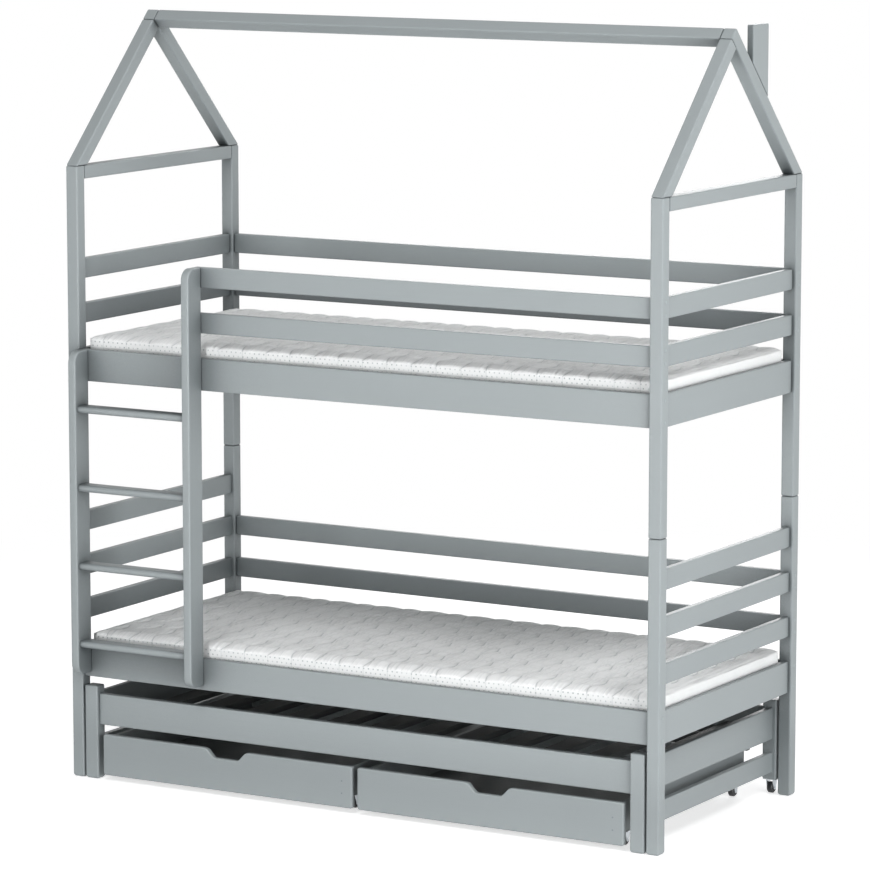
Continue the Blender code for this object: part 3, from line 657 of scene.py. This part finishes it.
# %% [markdown]
# ## Mattresses
# Both bunks have a thin foam mattress in a knitted white cover. The top panel is quilted: wavy
# lines of stitches run across it about every 82 mm and pull the cover down, and the padding swells
# between them. The narrow border round the sides is a firm white spacer fabric with rows of small
# holes. A mattress could be a rounded box with a bump texture, but its edge against the light would
# be straight. So the cover is built with its columns along the stitched lines, and a cloth
# simulation blows it up between them.

# %% Stitching pattern
PANELS = 24
QUILT_PITCH = 81.5 * MM
QUILT_WAVE = 8 * MM
QUILT_WAVELENGTH = 122 * MM
PANEL_STEPS = (0.0, 0.07, 0.18, 0.33, 0.5, 0.67, 0.82, 0.93)
ROWS = 80
SEAM_ROWS = 8
BORDER_DROPS = (4.0, 9.0, 16.0, 26.0, 40.0, 58.0, 78.0)     # mm below the edge of the top
BORDER_GIVE = 0.35
STITCH_SINK = 4.5 * MM
SWELL_POWER = 0.6
CROWN = 13.0 * MM
EDGE_DROP = 12.0 * MM
EDGE_SEAM_FADE = 0.4
SHOULDER = 45 * MM
SHOULDER_POWER = 2.5
CORNER = 14 * MM
FIRM_RIM = 5 * MM
FIRM_FADE = 35 * MM
HELD_FROM = 0.99           # a vertex this near to a stitch, where 1 is on it, is held

low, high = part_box("lower_mattress")
SIZE = high - low
print("mattress space", [round(s, 4) for s in SIZE])


def line_x(k, y):
    """Where stitched line k crosses the mattress at y. The first and the last are its ends."""
    if k in (0, PANELS):
        return SIZE.x * k / PANELS
    wave = QUILT_WAVE * math.sin(math.tau * y / QUILT_WAVELENGTH) * (-1) ** k
    return SIZE.x / 2 + (k - PANELS / 2) * QUILT_PITCH + wave


def round_corner(x, y):
    """Pulls a point near a corner of the plan onto a small round."""
    cx = min(max(x, CORNER), SIZE.x - CORNER)
    cy = min(max(y, CORNER), SIZE.y - CORNER)
    dx, dy = x - cx, y - cy
    if dx and dy:
        pull = max(abs(dx), abs(dy)) / math.hypot(dx, dy)
        return cx + dx * pull, cy + dy * pull
    return x, y


# %% Build the cover
def build_cover():
    """The closed cover, its stitched vertices, how near a stitch each is, and how free to move."""
    bm = bmesh.new()
    held, nearness, slack = [], {}, {}
    columns = PANELS * len(PANEL_STEPS)
    top = {}
    for i in range(columns + 1):
        panel, step = divmod(i, len(PANEL_STEPS))
        share = PANEL_STEPS[step]
        for j in range(ROWS + 1):
            y = SIZE.y * j / ROWS
            x = line_x(panel, y)
            if share:
                x = (1 - share) * x + share * line_x(panel + 1, y)
            x, y = round_corner(x, y)
            inset = min(x, SIZE.x - x, y, SIZE.y - y)
            edge = max(0.0, 1 - inset / SHOULDER) ** SHOULDER_POWER
            seam = 0.0 if i in (0, columns) else 1 - math.sin(math.pi * share) ** SWELL_POWER
            sink = STITCH_SINK * seam * (1 - EDGE_SEAM_FADE * edge)
            vert = bm.verts.new((x, y, SIZE.z + CROWN - EDGE_DROP * edge - sink))
            top[i, j] = vert
            nearness[vert] = seam
            free = min(1.0, max(0.0, (inset - FIRM_RIM) / FIRM_FADE))
            slack[vert] = free * free * (3 - 2 * free)
            if seam > HELD_FROM:
                held.append(vert)
    for i in range(columns):
        for j in range(ROWS):
            bm.faces.new((top[i, j], top[i + 1, j], top[i + 1, j + 1], top[i, j + 1]))
    loop = [(i, 0) for i in range(columns)] + [(columns, j) for j in range(ROWS)]
    loop += [(i, ROWS) for i in range(columns, 0, -1)] + [(0, j) for j in range(ROWS, 0, -1)]
    ring = [top[key] for key in loop]
    for drop in BORDER_DROPS:
        lower = []
        for (i, j), start in zip(loop, ring):
            height = SIZE.z + CROWN - EDGE_DROP - drop * MM
            vert = bm.verts.new((start.co.x, start.co.y, height))
            on_side = j in (0, ROWS)
            seam = (i % len(PANEL_STEPS) == 0) if on_side else (j % SEAM_ROWS == 0)
            nearness[vert] = 1.0 if seam else 0.0
            slack[vert] = BORDER_GIVE if BORDER_DROPS[0] < drop < BORDER_DROPS[-2] else 0.0
            if seam or drop >= BORDER_DROPS[-2]:
                held.append(vert)
            lower.append(vert)
        for k in range(len(loop)):
            n = (k + 1) % len(loop)
            bm.faces.new((ring[k], lower[k], lower[n], ring[n]))
        ring = lower
    under = dict(zip(loop, ring))
    for i in range(1, columns - 1):
        bm.faces.new((under[i, 0], under[i, ROWS], under[i + 1, ROWS], under[i + 1, 0]))
    bm.faces.new([under[0, j] for j in range(ROWS + 1)] + [under[1, ROWS], under[1, 0]])
    bm.faces.new([under[columns, j] for j in range(ROWS, -1, -1)]
                 + [under[columns - 1, 0], under[columns - 1, ROWS]])
    bm.normal_update()
    bm.verts.index_update()
    stitched = [v.index for v in held]
    near = [nearness[v] for v in bm.verts]
    loose = [slack[v] for v in bm.verts]
    mesh = bpy.data.meshes.new("mattress_cover")
    bm.to_mesh(mesh)
    bm.free()
    return mesh, stitched, near, loose


cover_mesh, stitched, near, loose = build_cover()
print("cover:", len(cover_mesh.vertices), "vertices,", len(stitched), "held by stitches")

# %% [markdown]
# The cloth simulation holds every stitched vertex still and lets a light pressure from inside push
# the rest out. The cloth is a little larger than the space between its stitches, so it puckers
# beside them, as a quilted cover does. No point may move further than a cap, and the edge hardly
# moves, so the cover can't grow out of its place.

# %% Blow the cover up
FRAMES = 20
PRESSURE = 1.2
SPARE_CLOTH = -0.03
MOVE_CAP = 2.2 * MM


def blow_up(mesh, stitched, loose):
    """Shapes the mesh by a short cloth simulation. Gives its largest and its mean move."""
    trial = bpy.data.objects.new("cover_trial", mesh.copy())
    bpy.context.scene.collection.objects.link(trial)
    stitches = trial.vertex_groups.new(name="stitches")
    stitches.add(stitched, 1.0, "REPLACE")
    cloth = trial.modifiers.new("cloth", "CLOTH")
    cloth.collision_settings.use_collision = False
    settings = cloth.settings
    settings.quality = 5
    settings.mass = 0.2
    settings.tension_stiffness = 20
    settings.compression_stiffness = 20
    settings.shear_stiffness = 6
    settings.bending_stiffness = 0.4
    settings.vertex_group_mass = stitches.name
    settings.shrink_min = SPARE_CLOTH
    settings.use_pressure = True
    settings.uniform_pressure_force = PRESSURE
    settings.effector_weights.gravity = 0.0
    scene = bpy.context.scene
    for number in range(1, FRAMES + 1):
        scene.frame_set(number)
    settled = trial.evaluated_get(bpy.context.evaluated_depsgraph_get()).to_mesh()
    moved = []
    for vertex, after, share in zip(mesh.vertices, settled.vertices, loose):
        step = after.co - vertex.co
        if step.length > MOVE_CAP:
            step *= MOVE_CAP / step.length
        step *= share
        vertex.co += step
        moved.append(step.length)
    scene.frame_set(1)
    bpy.data.objects.remove(trial)
    return max(moved), sum(moved) / len(moved)


most, mean = blow_up(cover_mesh, stitched, loose)
print("cloth moved", round(mean / MM, 2), "mm on average,", round(most / MM, 2), "mm at most")

# %% [markdown]
# ## Mattress cover
# The cover is knitted polyester, matt and slightly fluffy, so it scatters light and has a weak
# sheen. The border is told from the top panel by the way its surface faces. The long sides are
# perforated, the ends are plain. The holes sit in staggered rows, 16 mm apart along the row and
# 12 mm from row to row. They are drawn a little larger than life so that they show, as grey dots
# of painted shade. Long soft creases run across the top between the stitched lines. They come
# from a noise drawn out along the bed's width, which lifts the surface. Shade is painted into the
# folds a little, along the stitched lines of the top, and faintly along the seams of the long
# sides.

# %% Knitted cover
KNIT = "#f5f6f6"
KNIT_SHADE = "#bfc3c4"
BORDER_WHITE = "#f3f5f5"
BORDER_SHADE_GREY = "#bcc2c3"
KNIT_STITCH = 2.5 * MM     # the real stitches are near 1 mm, too fine to show
KNIT_RELIEF = 0.5 * MM
HOLE_PITCH = 16 * MM
HOLE_ROW = 12 * MM
HOLE_RISE = 3 * MM
HOLE_RADIUS = 1.9 * MM
HOLE_EDGE = 0.9 * MM
HOLE_DIP = 1.2 * MM
HOLE_VARIETY = 30 * MM
HOLE_NOISE_SPAN = (0.35, 0.6)
HOLE_SHADES = (0.35, 1.0)
WRINKLE_WIDTH = 8 * MM
WRINKLE_LENGTH = 130 * MM
WRINKLE_RELIEF = 6.0 * MM
CREASE_SPAN = (0.48, 0.7)
CREASE_SHADE = (0.0, 0.35)
TIGHT = (0.8, 0.15)        # the strength of the wrinkles on the top and on the border
LINE_POWER = 6.0
BORDER_SEAM = 0.5
BORDER_SPAN = (0.3, 0.5)   # how far up or down the border's surface may face
SIDE_FROM = 0.6            # how far to the front or rear a long side faces

knit_cover, tree, output = new_material("knitted_polyester_cover")
place = object_place(tree)
x, y, z = split(tree, place)
_, face_y, face_z = split(tree, add(tree, "ShaderNodeNewGeometry").outputs["Normal"])
border = span(tree, calc(tree, "ABSOLUTE", face_z), BORDER_SPAN, (1.0, 0.0))
long_side = calc(tree, "GREATER_THAN", calc(tree, "ABSOLUTE", face_y), SIDE_FROM)
print("the border is where the surface faces up by less than", BORDER_SPAN[1])

# %% [markdown]
# The holes: a place on the border is turned into a row and a place in that row. Every other row is
# moved by half a pitch. Shade is painted into each hole, darkest near the middle of its cell, and
# some holes are fainter.

# %% Holes in the border
level = calc(tree, "MULTIPLY_ADD", z, 1 / HOLE_ROW, HOLE_RISE / HOLE_ROW)
odd = calc(tree, "MODULO", calc(tree, "FLOOR", level), 2.0)
along = calc(tree, "MULTIPLY_ADD", calc(tree, "ADD", x, y), 1 / HOLE_PITCH,
             calc(tree, "MULTIPLY", odd, 0.5))
cell = add(tree, "ShaderNodeCombineXYZ", {"X": calc(tree, "FRACT", along),
                                          "Y": calc(tree, "FRACT", level)})
centred = vector_calc(tree, "SUBTRACT", cell.outputs[0], (0.5, 0.5, 0.0))
scaled = vector_calc(tree, "MULTIPLY", centred, (HOLE_PITCH, HOLE_ROW, 0.0))
# painted shade: each hole is drawn as a grey dot, darkest in the middle
hole = span(tree, vector_calc(tree, "LENGTH", scaled), (HOLE_RADIUS, HOLE_RADIUS + HOLE_EDGE),
            (1.0, 0.0))
uneven = noise(tree, place, scale=1 / HOLE_VARIETY, detail=1.0)
depth = span(tree, uneven, HOLE_NOISE_SPAN, HOLE_SHADES)
dots = calc(tree, "MULTIPLY", calc(tree, "MULTIPLY", hole, depth),
            calc(tree, "MULTIPLY", border, long_side))
print("holes every", HOLE_PITCH, "m, rows every", HOLE_ROW, "m")

# %% Colour and relief of the cover
drawn = vector_calc(tree, "MULTIPLY", place, (1 / WRINKLE_WIDTH, 1 / WRINKLE_LENGTH, 0.0))
pucker = noise(tree, drawn, scale=1.0, detail=2.0, distortion=0.4)
stitch = add(tree, "ShaderNodeAttribute", attribute_name="stitch").outputs["Fac"]
# painted shade: the top darkens towards KNIT_SHADE along the stitched lines and in the long creases
line = calc(tree, "POWER", stitch, LINE_POWER)
crease = span(tree, pucker, CREASE_SPAN, CREASE_SHADE)
painted_seam_and_crease_shade = calc(tree, "MAXIMUM", line, crease)
top_tint = blend(tree, painted_seam_and_crease_shade, colour(KNIT), colour(KNIT_SHADE))
# painted shade along the stitched seams of the long sides, at half strength
side_seam = calc(tree, "MULTIPLY", calc(tree, "MULTIPLY", line, long_side), BORDER_SEAM)
border_tint = blend(tree, side_seam, colour(BORDER_WHITE), colour(BORDER_SHADE_GREY))
tint = blend(tree, dots, blend(tree, border, top_tint, border_tint), colour(BORDER_SHADE_GREY))
knit = add(tree, "ShaderNodeTexVoronoi", {"Vector": place, "Scale": 1 / KNIT_STITCH})
knit_bump = bump(tree, knit.outputs["Distance"], strength=0.25, distance=KNIT_RELIEF)
tight = span(tree, border, target=TIGHT)
pucker_bump = bump(tree, pucker, strength=tight, distance=WRINKLE_RELIEF, below=knit_bump)
hole_bump = bump(tree, dots, strength=0.6, distance=HOLE_DIP, below=pucker_bump, invert=True)
shader = add(tree, "ShaderNodeBsdfPrincipled", {
    "Base Color": tint, "Roughness": 0.92, "IOR": 1.45, "Sheen Weight": 0.15,
    "Sheen Roughness": 0.5, "Normal": hole_bump})
tree.links.new(shader.outputs[0], output.inputs["Surface"])
print("knit", KNIT, "shaded to", KNIT_SHADE)

# %% Put a cover on each bunk
nearest = cover_mesh.attributes.new("stitch", "FLOAT", "POINT")
nearest.data.foreach_set("value", near)
cover_mesh.shade_smooth()
cover_mesh.materials.append(knit_cover)

for bunk in ("lower", "upper"):
    cover = bpy.data.objects.new(bunk + "_mattress_cover", cover_mesh)
    bpy.context.scene.collection.objects.link(cover)
    cover.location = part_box(bunk + "_mattress")[0]
    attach(cover, "bed")
    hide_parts(bunk + "_mattress")
    print(cover.name, "at", [round(c, 4) for c in cover.location])

# %% [markdown]
# ## Bolt caps, plugs and screws
# The side beams and rails are held by long furniture bolts through the end posts. Each bolt's head
# sits in a hole that a small domed plastic cap closes, moulded in nearly the grey of the lacquer.
# Flatter and darker plugs cover the screws of the drawer fronts. They are turned shapes, so a short
# outline of radius and height is revolved about each one's axis.

# %% Turned pieces
def turned(name, outline, places, body, material, sides=20):
    """One piece made of an outline, in mm, revolved at each place about that place's axis."""
    bm = bmesh.new()
    for place, axis in places:
        turn = Vector(axis).to_track_quat("Z", "Y").to_matrix().to_4x4()
        matrix = Matrix.Translation(place) @ turn
        rings = []
        for radius, height in outline:
            if radius == 0:
                rings.append([bm.verts.new(matrix @ Vector((0, 0, height * MM)))])
                continue
            angles = [math.tau * k / sides for k in range(sides)]
            points = [Vector((radius * MM * math.cos(a), radius * MM * math.sin(a), height * MM))
                      for a in angles]
            rings.append([bm.verts.new(matrix @ point) for point in points])
        for inner, outer in zip(rings, rings[1:]):
            for k in range(sides):
                n = (k + 1) % sides
                corners = [inner[k % len(inner)], outer[k % len(outer)], outer[n % len(outer)],
                           inner[n % len(inner)]]
                bm.faces.new(list(dict.fromkeys(corners)))
    mesh = bpy.data.meshes.new(name)
    bm.to_mesh(mesh)
    bm.free()
    mesh.shade_smooth()
    mesh.materials.append(material)
    piece = bpy.data.objects.new(name, mesh)
    bpy.context.scene.collection.objects.link(piece)
    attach(piece, body)
    print(name, len(places), "turned on", body)


# %% Plastic for the caps and plugs
CAP_GREY = "#9aa3a5"
PLUG_GREY = "#767e81"
CAP_GLOSS = (0.38, 0.5)
CAP_GRAIN = 1.2 * MM


def moulded(name, grey):
    """Moulded plastic with a fine grain in its gloss."""
    material, tree, output = new_material(name)
    fine = noise(tree, object_place(tree), scale=1 / CAP_GRAIN, detail=2.0)
    shader = add(tree, "ShaderNodeBsdfPrincipled", {
        "Base Color": colour(grey), "Roughness": span(tree, fine, target=CAP_GLOSS),
        "IOR": 1.49})
    tree.links.new(shader.outputs[0], output.inputs["Surface"])
    return material


cap_plastic = moulded("moulded_grey_caps", CAP_GREY)
plug_plastic = moulded("moulded_dark_plugs", PLUG_GREY)
print("caps", CAP_GREY, "plugs", PLUG_GREY)

# %% Bolt caps on the posts
CAP = ((0, 0.9), (2.6, 0.85), (4.4, 0.6), (5.4, 0.15), (5.5, -0.3), (0, -0.3))
BEAM_HEIGHT = 80 * MM      # beams are higher than this and rails lower
BEAM_BOLTS = 31 * MM
RAIL_BOLTS = 18 * MM
SIDE_BOARDS = [
    "lower_beam_front", "upper_beam_front", "lower_beam_rear", "upper_beam_rear",
    "lower_rear_rail_low", "lower_rear_rail_high", "upper_rear_rail_low", "upper_rear_rail_high",
]
GUARD_RAILS = ["guard_rail_low", "guard_rail_high"]
TRUNDLE_BOARDS = ["trundle_front_board", "trundle_rear_board"]


def bolt_places(boards, face_x):
    """Two bolts for each board, on the post face that its end is behind."""
    places = []
    for board in boards:
        low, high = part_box(board)
        middle = (low + high) / 2
        apart = BEAM_BOLTS if high.z - low.z > BEAM_HEIGHT else RAIL_BOLTS
        outward = (math.copysign(1, face_x), 0, 0)
        for side in (-1, 1):
            places.append(((face_x, middle.y, middle.z + side * apart), outward))
    return places


right_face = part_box("lower_end_frame_right")[1].x
trundle_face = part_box("trundle_end_frame_right")[1].x
turned("bolt_caps_right", CAP, bolt_places(SIDE_BOARDS + GUARD_RAILS, right_face), "bed",
       cap_plastic)
turned("bolt_caps_left", CAP, bolt_places(SIDE_BOARDS, -right_face), "bed", cap_plastic)
for side, face_x in (("right", trundle_face), ("left", -trundle_face)):
    turned("trundle_bolt_caps_" + side, CAP, bolt_places(TRUNDLE_BOARDS, face_x), "trundle",
           cap_plastic)

# %% Plugs in the drawer fronts
PLUG = ((0, 0.12), (2.2, 0.1), (2.9, -0.1), (3.0, -0.5), (0, -0.5))
PLUG_FROM_END = 35 * MM
PLUG_HEIGHTS = (0.0585, 0.095)
PLUG_SIDES = 16

for side in ("left", "right"):
    low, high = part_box("drawer_front_" + side)
    places = [((high.x - PLUG_FROM_END, low.y, z), (0, -1, 0)) for z in PLUG_HEIGHTS]
    turned("drawer_plugs_" + side, PLUG, places, "drawer_" + side, plug_plastic,
           PLUG_SIDES)

# %% [markdown]
# The trundle's slats are screwed down at both ends with zinc-plated countersunk screws. They are
# seen when the trundle is rolled out without its mattress. Each head has a pit for the driver.

# %% Slat screws
SCREW = ((0, -1.4), (0.9, -1.2), (1.3, 0.0), (2.9, 0.15), (3.5, -0.1), (3.5, -0.6), (0, -0.6))
SCREW_SIDES = 12
SLATS = 12
SLAT_WIDTH = 65 * MM
SLAT_MARGIN = 60 * MM
SCREW_IN = 11 * MM
SCREW_OFF_MIDDLE = 18 * MM

low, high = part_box("trundle_slat_base")
first = low.x + SLAT_MARGIN + SLAT_WIDTH / 2
last = high.x - SLAT_MARGIN - SLAT_WIDTH / 2
places = []
for k in range(SLATS):
    x = first + (last - first) * k / (SLATS - 1)
    for y in (low.y + SCREW_IN, high.y - SCREW_IN):
        for off in (-SCREW_OFF_MIDDLE, SCREW_OFF_MIDDLE):
            places.append(((x + off, y, high.z), (0, 0, 1)))
turned("trundle_slat_screws", SCREW, places, "trundle", zinc_steel, sides=SCREW_SIDES)
